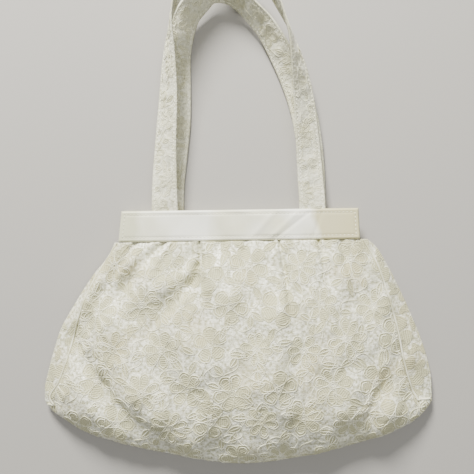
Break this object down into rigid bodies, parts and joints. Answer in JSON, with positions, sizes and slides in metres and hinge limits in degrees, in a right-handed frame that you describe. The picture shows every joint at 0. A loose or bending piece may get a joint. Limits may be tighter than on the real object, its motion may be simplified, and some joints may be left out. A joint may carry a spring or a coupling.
{
  "type": "hobo bag",
  "caption": "Small lace hobo bag lying on its back, with a satin band at the mouth, folded side gussets and two narrow shoulder straps.",
  "frame": {"origin": "on the back's rest face, on the middle line, 88 mm above the bottom seam", "axes": "+X to the bag's right as it is seen, +Y towards the mouth and the straps, +Z out of the front"},
  "size_m": [0.2994, 0.3822, 0.0356],
  "materials": {
    "lace": "matte corded lace",
    "satin": "satin",
    "lining": "matte woven",
    "band_satin": "satin",
    "stiffener": "felted interlining",
    "strap": "lace over satin",
    "snap_metal": "plated"
  },
  "bodies": {
    "back": {"back_lace_panel": "lace", "back_satin_panel": "satin", "back_lining": "lining", "left_gusset_lace": "lace", "left_gusset_satin": "satin", "left_gusset_lining": "lining", "right_gusset_lace": "lace", "right_gusset_satin": "satin", "right_gusset_lining": "lining", "slip_pocket": "lining"},
    "front": {"front_lace_panel": "lace", "front_satin_panel": "satin", "front_lining": "lining"},
    "front_band": {"front_band": "band_satin", "front_band_stiffener": "stiffener", "front_band_facing": "band_satin", "snap_stud_half": "snap_metal", "front_snap_washer": "snap_metal"},
    "back_band": {"back_band": "band_satin", "back_band_stiffener": "stiffener", "back_band_facing": "band_satin", "snap_socket_half": "snap_metal", "back_snap_washer": "snap_metal"},
    "front_strap": {"front_strap": "strap"},
    "back_strap": {"back_strap": "strap"}
  },
  "joints": [
    {"name": "mouth_opening", "type": "hinge", "parent": "back", "child": "front", "pos_m": [0, -0.0875, 0.005], "axis": [1, 0, 0], "range_deg": [0, 10]},
    {"name": "front_band_tilt", "type": "hinge", "parent": "front", "child": "front_band", "pos_m": [0, 0.0822, 0.013], "axis": [1, 0, 0], "range_deg": [0, 25]},
    {"name": "back_band_tilt", "type": "hinge", "parent": "back", "child": "back_band", "pos_m": [0, 0.0822, 0], "axis": [1, 0, 0], "range_deg": [-25, 0]},
    {"name": "front_strap_swing", "type": "hinge", "parent": "front_band", "child": "front_strap", "pos_m": [0, 0.1059, 0.013], "axis": [1, 0, 0], "range_deg": [0, 125]},
    {"name": "back_strap_swing", "type": "hinge", "parent": "back_band", "child": "back_strap", "pos_m": [0, 0.1059, 0], "axis": [1, 0, 0], "range_deg": [-125, 0]}
  ]
}
